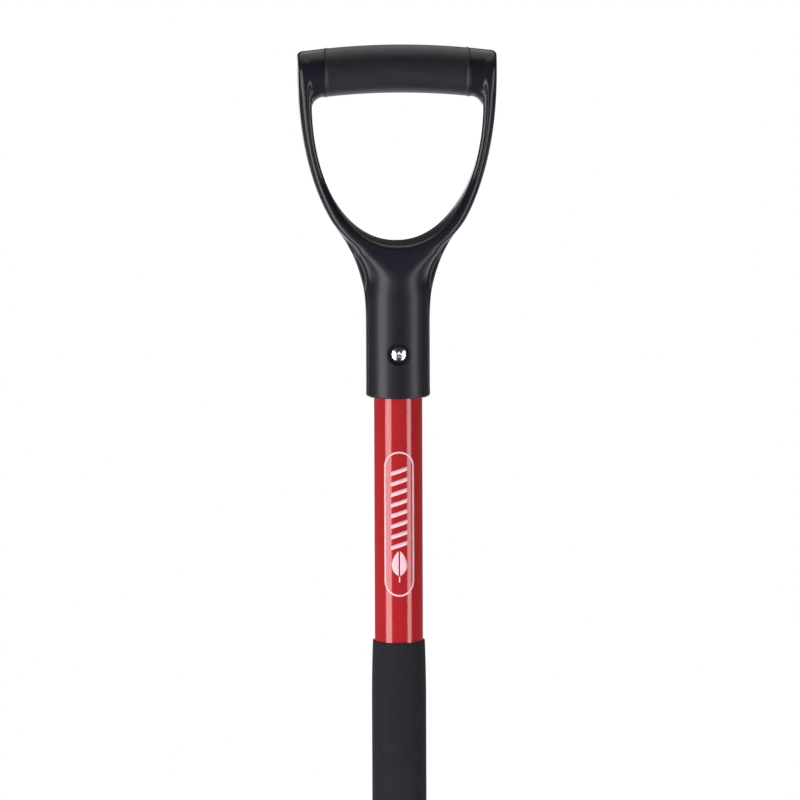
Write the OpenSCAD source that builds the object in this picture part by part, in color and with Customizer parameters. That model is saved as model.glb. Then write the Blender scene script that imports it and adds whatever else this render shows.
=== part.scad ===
// Round point shovel with a D grip, a steel tube shaft and a riveted, closed-back steel head.
// Millimetres. +Z is up along the shaft, the dished face of the blade and the screw head face -Y.
// The origin is the middle of the underside of the grip's bar, where the tool hangs on a hook.

/* [Overall] */
// Height from the top of the grip's bar to the point of the blade
overall_l = 1040; // [1000:5:1080]
// Width of the grip over its arms
grip_w = 130; // [126:1:134]
// Outer diameter of the shaft tube
tube_d = 32; // [31:0.25:33]

/* [D grip] */
// Diameter of the bar that the hand holds
bar_d = 31.4; // [30:0.2:33]
// Radius of the upward arch of the bar
bar_arch_r = 455; // [400:5:600]
// Length of the soft cover on the bar
cover_l = 94.4; // [90:0.2:96]
// Thickness of the soft cover
cover_t = 3.6; // [3:0.1:4.5]
// Width of the hand hole between the arms
hole_w = 111.2; // [109:0.2:113]
// Depth of the hand hole below the bar
hole_h = 98.4; // [97:0.2:102]
// Outer diameter of the grip's barrel
barrel_d = 40.9; // [40:0.1:43]
// Depth of the arms from front to back, where they are slimmest
arm_depth = 28; // [26:0.5:30]

/* [Shaft] */
// Wall of the steel tube
tube_wall = 1.5; // [1.2:0.1:2]
// Length of the rubber sleeve for the lower hand
sleeve_l = 260; // [220:5:280]
// Diameter of the rubber sleeve
sleeve_d = 35.7; // [35:0.1:38]
// Length of the printed panel on the shaft
print_l = 96; // [80:1:110]
// Width of the printed panel
print_w = 19.4; // [17:0.1:21]

/* [Head] */
// Length of the blade from the treads to the point
blade_l = 285; // [270:5:300]
// Greatest width of the blade
blade_w = 216; // [200:2:230]
// Thickness of the blade's steel
blade_t = 2; // [1.6:0.1:2.4]
// Wall of the socket
socket_wall = 2; // [1.8:0.1:2.4]
// Height of the socket's top above the treads
socket_l = 158; // [150:2:170]
// Length of tube inside the socket
tube_seat_l = 146; // [130:2:148]

/* [Hidden] */
$fn = 96;

black_plastic = [0.10, 0.10, 0.11];
black_rubber = [0.17, 0.17, 0.18];
red_paint = [0.70, 0.13, 0.16];
pale_print = [0.90, 0.78, 0.81];
bright_steel = [0.78, 0.78, 0.80];
dark_steel = [0.22, 0.22, 0.24];
pale_wood = [0.78, 0.62, 0.42];

big = 400;                            // longer than any cut needs
eps = 0.02;                           // overlap that joins two solids of one piece
seat_gap = 0.1;                       // radial clearance of the tube in the barrel and socket

// The bar
bar_r = bar_d / 2;
bar_z = bar_r;                        // height of the bar's axis at its middle
arch_z = bar_z - bar_arch_r;          // height of the arch's centre
core_r = bar_r - cover_t;
grip_r = grip_w / 2;
boss_z = 11.2;                        // height of the bar's axis at its ends
boss_corner_r = 6;
cover_cut_z = -20;                    // the arms leave room for the cover from here up

// The arms
arm_out_z = 16;                       // height where the arms' outer edge is widest
arm_out_b = 128.5;                    // its half height
arm_power = 2.13;                     // 2 is an ellipse, more is squarer
arm_end_z = -99.4;                    // where the arms run into the neck's fillets
hole_z = -4;                          // height where the hole is widest
hole_top_z = -3;                      // its upper edge, hidden by the bar in the middle
hole_b = hole_h + hole_z;
hole_power = 2.12;                    // the same, for the lower part of the hole
hole_corner_r = 7;
arm_swell = 1.9;                      // how much deeper the arms are under the bar, each side
arm_swell_z = -50;                    // where that starts
arm_swell_l = 45;                     // and over what height
arm_top_slim = 0.8;                   // how much slimmer they end beside the bar
arm_top_z = 12;
neck_swell_z = -52;                   // where the arms start to deepen towards the barrel
neck_swell_l = 34;
ridge_inset = 0.4;                    // the rounded ridge in front of and behind each arm
lip_w = 2;                            // and the lip beside it, along the hand hole
lip_drop = 4;
web_z = -98;                          // where the side webs leave the arms
web_end_z = -152;                     // and where they run out into the barrel
web_power = 2.15;                     // how suddenly they widen
web_half_t = 5;
fillet_r = 34;                        // between the ridge of an arm and the barrel
tuck = 0.3;                           // how far the neck's faces pass inside the barrel's

// The barrel
barrel_r = barrel_d / 2;
barrel_end_z = -199;
barrel_top_z = -126.6;
ridge_foot_z = barrel_top_z - 6;      // a cone from here up trims the ridges inside the barrel
ridge_foot_r = barrel_r - 4;
tube_top_z = -118;
screw_z = -169.4;
screw_r = 2.5;                        // M5
screw_head_r = 5;
screw_head_h = 2.9;
screw_dome_h = 1.8;                   // the domed part of that
cross_w = 0.9;                        // the cross recess in the head
cross_l = 4.4;
cross_depth = 1.6;
screw_gap = 0.2;                      // radial clearance of the screw in the barrel and tube
screw_end_l = 0.8;                    // how far the screw passes the nut
recess_r = 7.2;                       // counterbore round the head and round the nut
recess_y = 17.8;                      // its floor, from the axis
washer_t = 1;
washer_r = 6;
nut_af = 8;
nut_h = 4;

// The shaft
tube_r = tube_d / 2;
tube_bore_r = tube_r - tube_wall;
sleeve_top_z = -361;
sleeve_edge_t = 1.1;                  // thickness of the sleeve at its rims
sleeve_taper_l = 40;
print_top_z = -234;
print_t = 0.1;
print_line = 1.2;                     // width of the panel's frame
print_bars = 8;
print_bar_pitch = 7;
print_bar_z = 34;                     // height of the lowest bar in the panel
print_bar_r = 5.4;                    // half its length
print_bar_rise = 1.8;                 // how far each end of a bar is slanted up or down
print_bar_half_t = 1.4;
leaf_z = 17;                          // height of the leaf's foot in the panel
leaf_r = 9.5;
leaf_vein = 0.5;                      // half the gap between its halves

// The head
tip_z = bar_d - overall_l;
tread_z = tip_z + blade_l;            // top of the plate, under the treads
socket_top_z = tread_z + socket_l;
tube_end_z = socket_top_z - tube_seat_l;
socket_bore_r = tube_r + seat_gap;
socket_top_r = socket_bore_r + socket_wall;
socket_low_r = socket_top_r + 1.3;    // it widens a little towards the blade
socket_low_z = tread_z + 30;
scarf_back_s = 26;                    // where the slanted end starts at the back, below the treads
scarf_front_s = 130;                  // where it ends at the front
cap_t = 2;
rivet_r = 3;
rivet_head_r = 5.6;
rivet_head_h = 2.6;
rivet_zs = [socket_top_z - 30, socket_top_z - 98];
rivet_gap = 0.1;                      // radial clearance of the shank
rivet_stand = 0.25;                   // how far the heads stand off the tapered socket

// The blade, a sheet that is described by its middle surface
blade_r = blade_w / 2;
dish = 26;                            // how far the edges stand forward of the middle
lean = 0.10;                          // forward lean at the treads, and how it grows
lean_growth = 0.00042;
frog_r = socket_low_r + blade_t / 2 + 0.3;   // the frog clears the socket by 0.3
frog_flank = 0.9;                     // part of frog_r where the round turns into a straight flank
frog_blend = 14;                      // how softly the flanks run into the dish
tongue_h = 34;                        // the part of the sheet that wraps the socket
tongue_w = 25;                        // half its width
tongue_power = 1.5;
widest_s = 70;                        // how far below the treads the blade is widest
shoulder_drop = 6;                    // how much narrower each side is at the treads
point_power = 2.4;                    // the shape of the point: how late the edges turn in
point_round = 0.7;                    // and how blunt they meet
step_bend_r = 5;
step_depth = 11;
step_in = 31;
step_out = 99;
tread_power = 8;                      // how square the ends of the treads are
tread_end = 0.96;                     // how far their depth falls away there
columns = 52;
rows = 32;
row_crowding = 1.6;                   // rows crowd towards the point
tongue_fade = 6;                      // how fast the rows below the tongue level out
tip_flat = 0.1;                       // the last row stops this short of the point

// ---------- helpers ----------

// An arc of the bar's arch, of radius r, for x from x0 to x1
module arch_rod(r, x0, x1) {
    a0 = asin(x0 / bar_arch_r);
    a1 = asin(x1 / bar_arch_r);
    translate([0, 0, arch_z]) rotate([90, 0, 0]) rotate([0, 0, 90 - a1])
        rotate_extrude(angle = a1 - a0) translate([bar_arch_r, 0]) circle(r);
}

// Draws a shape of the XZ plane as a slab, half_t to each side of it
module slab(half_t) {
    translate([0, half_t, 0]) rotate([90, 0, 0]) linear_extrude(2 * half_t) children();
}

// A straight round hole or rod along Y
module along_y(r, y0, y1, z) {
    translate([0, y1, z]) rotate([90, 0, 0]) cylinder(r = r, h = y1 - y0);
}

function mirrored(points) = [for (i = [len(points) - 1:-1:0]) [-points[i][0], points[i][1]]];

// ---------- the D grip ----------

function smooth(t) = let(c = min(max(t, 0), 1)) c * c * (3 - 2 * c);

function arm_out_x(z) = grip_r * pow(1 - pow(-min(z - arm_out_z, 0) / arm_out_b, arm_power), 1 / arm_power);

// Outer edge of the right arm, from the bar's axis down to height z_end
function arm_edge(z_end, inset = 0) =
    [for (i = [0:20]) let(z = boss_z + (z_end - boss_z) * i / 20) [arm_out_x(z) - inset, z]];

// Outer edge of the right end of the bar, with its rounded top corner
function boss_edge() = concat(
    [for (a = [90:-15:0]) [grip_r + boss_corner_r * (cos(a) - 1),
                           boss_z + bar_r + boss_corner_r * (sin(a) - 1)]],
    arm_edge(hole_z - hole_corner_r));

// Arc that leaves the arm and runs down into the barrel
function fillet_edge(inset) = [for (a = [52:-6.5:0])
    [barrel_r - tuck - inset + fillet_r * (1 - cos(a)), barrel_top_z + fillet_r * sin(a)]];

// Side web: it leaves the arm and runs out into the barrel
function web_edge() = [for (i = [-1:12]) let(t = 1 - i / 12)
    [barrel_r + (arm_out_x(web_z) - barrel_r) * pow(t, web_power), web_end_z + (web_z - web_end_z) * t]];

// Half the depth of the arms and the neck, seen from the side
function half_depth(z) = arm_depth / 2
    + arm_swell * smooth((z - arm_swell_z) / arm_swell_l) - arm_top_slim * smooth(z / arm_top_z)
    + (barrel_r - tuck - arm_depth / 2) * smooth((neck_swell_z - z) / neck_swell_l);

module both_sides(points) { polygon(concat(points, mirrored(points))); }

// The hand hole, grown by g all round: round corners above, a superellipse below
module hole_shape(g) {
    a = hole_w / 2 + g;
    r = hole_corner_r;
    top = hole_top_z + g;
    both_sides(concat(
        [for (i = [90:-15:0]) [a - r + r * cos(i), top - r + r * sin(i)]],
        [for (i = [5:5:85]) [a * pow(cos(i), 2 / hole_power),
                             hole_z - (hole_b + g) * pow(sin(i), 2 / hole_power)]],
        [[0, hole_z - hole_b - g]]));
}

// The two arms and the neck as one flat outline, with the hand hole and the bar's cover left out
module arms_shape(inset, g) {
    difference() {
        both_sides(concat(arm_edge(arm_end_z, inset), fillet_edge(inset)));
        hole_shape(g);
        translate([-cover_l / 2 - g / 4, cover_cut_z]) square([cover_l + g / 2, big]);
    }
}

// Everything within half_depth less drop of the middle plane
module side_profile(drop) {
    neck_full_z = neck_swell_z - neck_swell_l;
    steps = 14;
    edge = concat(
        [for (i = [0:steps]) let(z = arm_top_z + (neck_full_z - arm_top_z) * i / steps)
            [half_depth(z) - drop, z]],
        [[half_depth(neck_full_z) - drop, barrel_top_z - 10]]);
    rotate([90, 0, 90]) translate([0, 0, -big / 2]) linear_extrude(big) both_sides(edge);
}

module grip_body() {
    // The core and the two ends of the bar
    arch_rod(core_r, -cover_l / 2 - 1, cover_l / 2 + 1);
    for (side = [0, 1]) mirror([side, 0, 0])
        intersection() {
            arch_rod(bar_r, cover_l / 2, grip_r + 4);
            slab(bar_r + 1) both_sides(boss_edge());
        }
    // The lip along the hand hole, and the ridge in front of and behind it
    intersection() {
        slab(barrel_r) arms_shape(0, 0);
        side_profile(lip_drop);
    }
    intersection() {
        slab(barrel_r) arms_shape(ridge_inset, lip_w);
        side_profile(0);
        translate([0, 0, ridge_foot_z]) cylinder(r1 = ridge_foot_r, r2 = 2 * big, h = 2 * big);
    }
    // The side webs and the barrel
    for (side = [0, 1]) mirror([side, 0, 0])
        slab(web_half_t) polygon(concat(web_edge(), [[ridge_foot_r, web_end_z], [ridge_foot_r, web_z]]));
    translate([0, 0, barrel_end_z]) cylinder(r = barrel_r, h = barrel_top_z - barrel_end_z);
}

module grip_frame() {
    color(black_plastic) difference() {
        grip_body();
        translate([0, 0, barrel_end_z - 1])
            cylinder(r = tube_r + seat_gap, h = tube_top_z + 0.5 - barrel_end_z + 1);
        along_y(screw_r + screw_gap, -barrel_r - 1, barrel_r + 1, screw_z);
        for (side = [0, 1]) mirror([0, side, 0]) along_y(recess_r, recess_y, barrel_r + 1, screw_z);
    }
}

module grip_cover() {
    color(black_rubber) difference() {
        arch_rod(bar_r, -cover_l / 2 + 0.05, cover_l / 2 - 0.05);
        arch_rod(core_r + 0.02, -cover_l / 2 - 1, cover_l / 2 + 1);
    }
}

// Pan head: a low dome over a short edge, with a cross recess
module grip_screw() {
    dome_r = (screw_head_r * screw_head_r + screw_dome_h * screw_dome_h) / (2 * screw_dome_h);
    color(bright_steel) difference() {
        union() {
            intersection() {
                along_y(screw_head_r, -recess_y - screw_head_h, -recess_y, screw_z);
                translate([0, dome_r - recess_y - screw_head_h, screw_z]) sphere(dome_r);
            }
            along_y(screw_r, -recess_y - eps, recess_y + washer_t + nut_h + screw_end_l, screw_z);
        }
        for (a = [0, 90]) translate([0, -recess_y - screw_head_h, screw_z]) rotate([0, a, 0])
            cube([cross_w, 2 * cross_depth, cross_l], center = true);
    }
}

module grip_washer() {
    color(bright_steel) difference() {
        along_y(washer_r, recess_y, recess_y + washer_t, screw_z);
        along_y(screw_r + 0.15, 0, big, screw_z);
    }
}

module grip_nut() {
    color(bright_steel) difference() {
        translate([0, recess_y + washer_t + nut_h, screw_z]) rotate([90, 0, 0])
            cylinder(r = nut_af / 2 / cos(30), h = nut_h, $fn = 6);
        along_y(screw_r + 0.03, 0, big, screw_z);
    }
}

// ---------- the shaft ----------

module shaft_tube() {
    color(red_paint) difference() {
        translate([0, 0, tube_end_z]) cylinder(r = tube_r, h = tube_top_z - tube_end_z);
        translate([0, 0, tube_end_z - 1]) cylinder(r = tube_bore_r, h = big * 3);
        along_y(screw_r + screw_gap, -big, big, screw_z);
        for (z = rivet_zs) along_y(rivet_r + rivet_gap, -big, big, z);
    }
}

// A plain panel outline with round ends, slanted bars and a leaf
module print_pattern() {
    r = print_w / 2;
    mid = print_l - 2 * r;
    difference() {
        union() {
            translate([-r, r]) square([print_w, mid]);
            for (y = [r, r + mid]) translate([0, y]) circle(r);
        }
        translate([-r + print_line, r]) square([print_w - 2 * print_line, mid]);
        for (y = [r, r + mid]) translate([0, y]) circle(r - print_line);
    }
    for (i = [0:print_bars - 1]) translate([0, print_bar_z + i * print_bar_pitch])
        polygon([[-print_bar_r, -print_bar_rise - print_bar_half_t],
                 [print_bar_r, print_bar_rise - print_bar_half_t],
                 [print_bar_r, print_bar_rise + print_bar_half_t],
                 [-print_bar_r, -print_bar_rise + print_bar_half_t]]);
    for (side = [0, 1]) mirror([side, 0]) translate([leaf_vein, leaf_z])
        difference() {
            intersection() {
                translate([-4.5, 4]) circle(leaf_r);
                translate([leaf_r, 6]) circle(leaf_r);
            }
            translate([-big, -big / 2]) square(big);
        }
}

module shaft_print() {
    color(pale_print) intersection() {
        difference() {
            translate([0, 0, print_top_z - print_l]) cylinder(r = tube_r + print_t, h = print_l);
            translate([0, 0, print_top_z - print_l - 1]) cylinder(r = tube_r, h = print_l + 2);
        }
        translate([0, 0, print_top_z - print_l]) rotate([90, 0, 0]) linear_extrude(tube_d)
            print_pattern();
    }
}

module mid_grip() {
    r_in = tube_r + 0.02;
    r_rim = tube_r + sleeve_edge_t;
    r_mid = sleeve_d / 2;
    low = sleeve_top_z - sleeve_l;
    color(black_rubber) rotate_extrude() polygon([
        [r_in, sleeve_top_z], [r_rim, sleeve_top_z], [r_mid, sleeve_top_z - sleeve_taper_l],
        [r_mid, low + sleeve_taper_l], [r_rim, low], [r_in, low]]);
}

module shaft_dowel() {
    color(pale_wood) difference() {
        translate([0, 0, tube_end_z]) cylinder(r = tube_bore_r - 0.05, h = tube_seat_l + 10);
        for (z = rivet_zs) along_y(rivet_r + rivet_gap, -big, big, z);
    }
}

// ---------- the head ----------

// Everything behind the slanted end of the socket, moved along its normal by shift
module behind_scarf(shift) {
    run = scarf_front_s - scarf_back_s;
    tilt = atan2(run, 2 * socket_low_r);
    translate([0, socket_low_r, tread_z - scarf_back_s]) rotate([tilt, 0, 0])
        translate([-big / 2, -big, shift - big]) cube([big, 2 * big, big]);
}

function socket_r(z) = socket_top_r
    + (socket_low_r - socket_top_r) * (socket_top_z - z) / (socket_top_z - socket_low_z);

module socket_outside() {
    translate([0, 0, socket_low_z]) cylinder(r1 = socket_low_r, r2 = socket_top_r,
                                             h = socket_top_z - socket_low_z);
    translate([0, 0, tread_z - scarf_front_s - 20])
        cylinder(r = socket_low_r, h = socket_low_z - tread_z + scarf_front_s + 20);
}

module socket() {
    color(dark_steel) difference() {
        socket_outside();
        translate([0, 0, tube_end_z - 1]) cylinder(r = socket_bore_r, h = big);
        translate([0, 0, tread_z - big])
            cylinder(r = socket_low_r - socket_wall, h = big + tube_end_z - tread_z);
        behind_scarf(cap_t);
        for (z = rivet_zs) along_y(rivet_r + rivet_gap, -big, big, z);
    }
}

// The slanted plate that closes the back of the socket
module frog_plate() {
    color(dark_steel) difference() {
        intersection() {
            socket_outside();
            behind_scarf(cap_t - 0.02);
        }
        behind_scarf(0);
    }
}

module rivet(z) {
    dome_r = (rivet_head_r * rivet_head_r + rivet_head_h * rivet_head_h) / (2 * rivet_head_h);
    seat = socket_r(z) + rivet_stand;
    along_y(rivet_r, -seat, seat, z);
    for (side = [0, 1]) mirror([0, side, 0])
        intersection() {
            translate([0, dome_r - seat - rivet_head_h, z]) sphere(dome_r);
            along_y(rivet_head_r + 1, -seat - rivet_head_h - 1, -seat + 0.05, z);
        }
}

module socket_rivets() { color(bright_steel) for (z = rivet_zs) rivet(z); }

// Half width of the blade at a distance s below the treads
function half_width(s) = s > widest_s
    ? blade_r * pow(max(1 - pow((s - widest_s) / (blade_l - widest_s), point_power), 0), point_round)
    : blade_r - shoulder_drop * pow((widest_s - max(s, 0)) / widest_s, 2);

// How far forward the dished plate stands, and the frog that wraps the front of the socket
function plate_h(x, s) = lean * s + lean_growth * s * abs(s) + dish * pow(x / blade_r, 2);
function frog_h(x) = let(a = abs(x), edge = frog_flank * frog_r, h = sqrt(frog_r * frog_r - edge * edge))
    a < edge ? sqrt(frog_r * frog_r - a * a) : h - (a - edge) * edge / h;

// Middle surface of the sheet: the further forward of the two, with a soft valley between them
function sheet_y(x, s) = let(a = plate_h(x, s), b = frog_h(x))
    -max(a, b) - pow(max(frog_blend - abs(a - b), 0), 2) / (4 * frog_blend);

function sheet_normal(x, s) = let(
        d = 0.5,
        gx = (sheet_y(x + d, s) - sheet_y(x - d, s)) / (2 * d),
        gs = (sheet_y(x, s + d) - sheet_y(x, s - d)) / (2 * d))
    [-gx, 1, gs] / norm([gx, 1, gs]);

function sheet_point(x, s, side) = [x, sheet_y(x, s), tread_z - s]
    + sheet_normal(x, s) * side * blade_t / 2;

// Row v runs from the top edge, 0, to the point, 1; column u from edge to edge
function tongue(x) = tongue_h * pow(max(1 - pow(x / tongue_w, 2), 0), tongue_power);
function row_s(v, u) = (blade_l - tip_flat) * (1 - pow(1 - v, row_crowding))
    - tongue(u * half_width(0)) * pow(1 - v, tongue_fade);
function grid_point(v, u, side) = let(s = row_s(v, u)) sheet_point(u * half_width(s), s, side);

// Closed shell over an n by m grid of front points followed by the same grid of back points
function shell_faces(n, m) = let(k = (n + 1) * (m + 1)) concat(
    [for (j = [0:m - 1], i = [0:n - 1]) let(p = j * (n + 1) + i) [p, p + 1, p + n + 1]],
    [for (j = [0:m - 1], i = [0:n - 1]) let(p = j * (n + 1) + i) [p + 1, p + n + 2, p + n + 1]],
    [for (j = [0:m - 1], i = [0:n - 1]) let(p = k + j * (n + 1) + i) [p, p + n + 1, p + 1]],
    [for (j = [0:m - 1], i = [0:n - 1]) let(p = k + j * (n + 1) + i) [p + 1, p + n + 1, p + n + 2]],
    [for (i = [0:n - 1]) [i, i + k, i + 1]],
    [for (i = [0:n - 1]) [i + 1, i + k, i + k + 1]],
    [for (i = [0:n - 1]) let(p = m * (n + 1) + i) [p, p + 1, p + k]],
    [for (i = [0:n - 1]) let(p = m * (n + 1) + i) [p + 1, p + k + 1, p + k]],
    [for (j = [0:m - 1]) let(p = j * (n + 1)) [p, p + n + 1, p + k]],
    [for (j = [0:m - 1]) let(p = j * (n + 1)) [p + n + 1, p + n + 1 + k, p + k]],
    [for (j = [0:m - 1]) let(p = j * (n + 1) + n) [p, p + k, p + n + 1]],
    [for (j = [0:m - 1]) let(p = j * (n + 1) + n) [p + n + 1, p + k, p + n + 1 + k]]);

module blade_sheet() {
    // Columns crowd towards the middle, where the frog curves most
    function column_u(i) = let(c = 2 * i / columns - 1) 0.45 * c + 0.55 * c * abs(c);
    points = [for (side = [-1, 1], j = [0:rows], i = [0:columns])
        grid_point(j / rows, column_u(i), side)];
    polyhedron(points, shell_faces(columns, rows));
}

// The right tread: the top edge of the sheet, turned forward
module tread() {
    n = 20;
    bend_n = 6;
    flat_n = 3;
    m = 1 + bend_n + flat_n;
    function along(x) = 2 * (x - step_in) / (step_out - step_in) - 1;
    function depth(x) = step_depth * sqrt(1 - pow(abs(along(x)), tread_power) * tread_end);
    // Path across the bend: up the sheet, round it, and out along the tread
    function path(x, j) = j == 0 ? [0, -step_bend_r, 0]
        : j <= 1 + bend_n ? let(a = (j - 1) * 90 / bend_n)
            [-step_bend_r * (1 - cos(a)), step_bend_r * sin(a), a]
        : [-step_bend_r - depth(x) * (j - 1 - bend_n) / flat_n, step_bend_r, 90];
    function tread_point(x, j, side) = let(p = path(x, j))
        [x, sheet_y(x, 0) + p[0] + side * blade_t / 2 * cos(p[2]),
         tread_z + p[1] + side * blade_t / 2 * sin(p[2])];
    points = [for (side = [-1, 1], j = [m:-1:0], i = [0:n])
        tread_point(step_in + (step_out - step_in) * i / n, j, side)];
    polyhedron(points, shell_faces(n, m));
}

module blade() {
    color(dark_steel) {
        blade_sheet();
        tread();
        mirror([1, 0, 0]) tread();
    }
}

grip_frame();
grip_cover();
grip_screw();
grip_washer();
grip_nut();
shaft_tube();
shaft_print();
mid_grip();
shaft_dowel();
socket();
socket_rivets();
frog_plate();
blade();
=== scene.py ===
"""Round point shovel with a D grip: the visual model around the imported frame.

Lengths are millimetres until a mesh, light or camera is made, where M turns them into metres.
+Z is up the shaft, -Y is the front, and the origin is the middle of the underside of the bar.
"""
import math

import bmesh
import bpy
import numpy as np
from mathutils import Matrix, Vector


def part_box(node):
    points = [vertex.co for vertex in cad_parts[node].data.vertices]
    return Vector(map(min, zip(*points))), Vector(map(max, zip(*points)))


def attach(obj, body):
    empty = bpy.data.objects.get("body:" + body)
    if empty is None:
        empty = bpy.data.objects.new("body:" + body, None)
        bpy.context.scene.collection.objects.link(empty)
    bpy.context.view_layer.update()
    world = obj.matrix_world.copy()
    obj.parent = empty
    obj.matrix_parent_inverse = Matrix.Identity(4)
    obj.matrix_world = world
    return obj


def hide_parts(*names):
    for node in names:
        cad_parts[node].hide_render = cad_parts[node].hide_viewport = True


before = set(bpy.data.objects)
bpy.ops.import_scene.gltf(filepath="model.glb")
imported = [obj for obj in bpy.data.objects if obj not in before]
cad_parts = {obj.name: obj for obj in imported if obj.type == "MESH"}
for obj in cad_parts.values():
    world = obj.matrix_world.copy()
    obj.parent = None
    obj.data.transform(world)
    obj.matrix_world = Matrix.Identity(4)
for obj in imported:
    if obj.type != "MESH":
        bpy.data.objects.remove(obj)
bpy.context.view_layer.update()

M = 0.001


def node_box(node):
    """Lowest and highest corner of a CAD node, in millimetres."""
    low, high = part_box(node)
    return np.array(low) / M, np.array(high) / M


# ---------- driving sizes, from the frame ----------

_, cover_high = node_box("grip_cover")
grip_low, grip_high = node_box("grip_frame")
screw_low, screw_high = node_box("grip_screw")
tube_low, tube_high = node_box("shaft_tube")
print_low, print_high = node_box("shaft_print")
sleeve_low, sleeve_high = node_box("mid_grip")
dowel_low, dowel_high = node_box("shaft_dowel")
_, socket_high = node_box("socket")
blade_low, _ = node_box("blade")

BAR_R = cover_high[1]
GRIP_R = grip_high[0]
BARREL_R = grip_high[1]
BARREL_END = grip_low[2]
TUBE_R = tube_high[0]
TUBE_TOP = tube_high[2]
TUBE_END = tube_low[2]
SCREW_Z = (screw_low[2] + screw_high[2]) / 2
SLEEVE_R = sleeve_high[0]
SLEEVE_TOP = sleeve_high[2]
SLEEVE_END = sleeve_low[2]
SOCKET_TOP = socket_high[2]
SOCKET_LOW_R = socket_high[0]
TIP_Z = blade_low[2]

# ---------- sizes that repeat the design's ----------

ARCH_R = 455                      # of the crossbar's axis
COVER_L = 94.4
COVER_T = 3.6
TUBE_WALL = 1.5
BORE_GAP = 0.1
BLADE_L = 285                     # from the treads to the point
BLADE_R = 108                     # half the blade's width
BLADE_T = 2
TREAD_Z = TIP_Z + BLADE_L


def smooth(t):
    """Smooth step from 0 to 1."""
    c = np.clip(t, 0, 1)
    return c * c * (3 - 2 * c)


def fade(value, start, run):
    """0 up to start, 1 from start + run on; run is negative where it goes down."""
    return smooth((value - start) / run)


# ---------- mesh helpers ----------


def add_piece(name, points, faces, finish, nodes=(), smooth_shade=True):
    """A mesh object from points in millimetres, with its material, that rides on the shovel."""
    mesh = bpy.data.meshes.new(name)
    mesh.from_pydata((np.asarray(points, float) * M).tolist(), [], [list(f) for f in faces])
    mesh.validate()
    mesh.materials.append(finish)
    piece = bpy.data.objects.new(name, mesh)
    bpy.context.scene.collection.objects.link(piece)
    tidy = bmesh.new()
    tidy.from_mesh(mesh)
    bmesh.ops.remove_doubles(tidy, verts=tidy.verts, dist=1e-6)
    bmesh.ops.recalc_face_normals(tidy, faces=tidy.faces)
    tidy.to_mesh(mesh)
    tidy.free()
    for face in mesh.polygons:
        face.use_smooth = smooth_shade
    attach(piece, "root")
    if nodes:
        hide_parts(*nodes)
    return piece


def grid_faces(rows, columns, wrap_rows=False, wrap_columns=False, start=0):
    """Quads over a grid of points that is numbered row by row."""
    faces = []
    for i in range(rows if wrap_rows else rows - 1):
        for j in range(columns if wrap_columns else columns - 1):
            k, n = (i + 1) % rows, (j + 1) % columns
            faces.append([start + i * columns + j, start + i * columns + n,
                          start + k * columns + n, start + k * columns + j])
    return faces


def fillet(points, radii, steps=5):
    """A closed outline whose corners are rounded to the given radii."""
    out = []
    count = len(points)
    for i, radius in enumerate(radii):
        here = np.array(points[i], float)
        back = np.array(points[i - 1], float) - here
        ahead = np.array(points[(i + 1) % count], float) - here
        if radius == 0:
            out.append(here)
            continue
        back, ahead = back / np.linalg.norm(back), ahead / np.linalg.norm(ahead)
        half = math.acos(np.clip(back @ ahead, -1, 1)) / 2
        middle = (back + ahead) / np.linalg.norm(back + ahead)
        centre = here + middle * radius / math.sin(half)
        first = here + back * radius / math.tan(half) - centre
        last = here + ahead * radius / math.tan(half) - centre
        turn = math.atan2(first[0] * last[1] - first[1] * last[0], first @ last)
        for k in range(steps + 1):
            a = turn * k / steps
            spin = np.array([[math.cos(a), -math.sin(a)], [math.sin(a), math.cos(a)]])
            out.append(centre + spin @ first)
    return out


def lathe(profile, steps=128):
    """Points and faces of a closed (radius, height) profile turned about Z."""
    angle = np.arange(steps) * 2 * math.pi / steps
    points = [[r * math.cos(a), r * math.sin(a), z] for r, z in profile for a in angle]
    return np.array(points), grid_faces(len(profile), steps, wrap_rows=True, wrap_columns=True)


def turned(points, axis_y, z):
    """Turns a lathed piece so that its axis lies along Y, its top towards -Y, at height z."""
    x, y, h = np.asarray(points, float).T
    return np.stack([x, axis_y - h, y + z], 1)


def tube_along(path, radius, sides, ripple, pitch):
    """A closed round bead along a path of points; ripple makes the scales of a weld."""
    path = np.asarray(path, float)
    along = np.gradient(path, axis=0)
    along /= np.linalg.norm(along, axis=1)[:, None]
    run = np.concatenate([[0], np.cumsum(np.linalg.norm(np.diff(path, axis=0), axis=1))])
    ends = np.clip(np.minimum(run, run[-1] - run) / radius, 0.02, 1) ** 0.5
    size = radius * ends * (1 + ripple * np.abs(np.sin(run / pitch * math.pi)))
    side = np.cross(along, [0.3, 1, 0.2])
    side /= np.linalg.norm(side, axis=1)[:, None]
    up = np.cross(along, side)
    angle = np.arange(sides) * 2 * math.pi / sides
    around = (np.cos(angle)[None, :, None] * side[:, None, :]
              + np.sin(angle)[None, :, None] * up[:, None, :])
    points = (path[:, None, :] + size[:, None, None] * around).reshape(-1, 3)
    faces = grid_faces(len(path), sides, wrap_columns=True)
    faces.append(list(range(sides))[::-1])
    faces.append(list(range(len(points) - sides, len(points))))
    return points, faces


# ---------- material helpers ----------

NOISE_LOW = 0.3                   # most of a noise texture lies between these two
NOISE_HIGH = 0.7


def math_node(tree, operation, *values):
    """A maths node; each value is a number or a socket."""
    node = tree.nodes.new("ShaderNodeMath")
    node.operation = operation
    for i, value in enumerate(values):
        if isinstance(value, (int, float)):
            node.inputs[i].default_value = value
        else:
            tree.links.new(value, node.inputs[i])
    return node.outputs[0]


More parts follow.
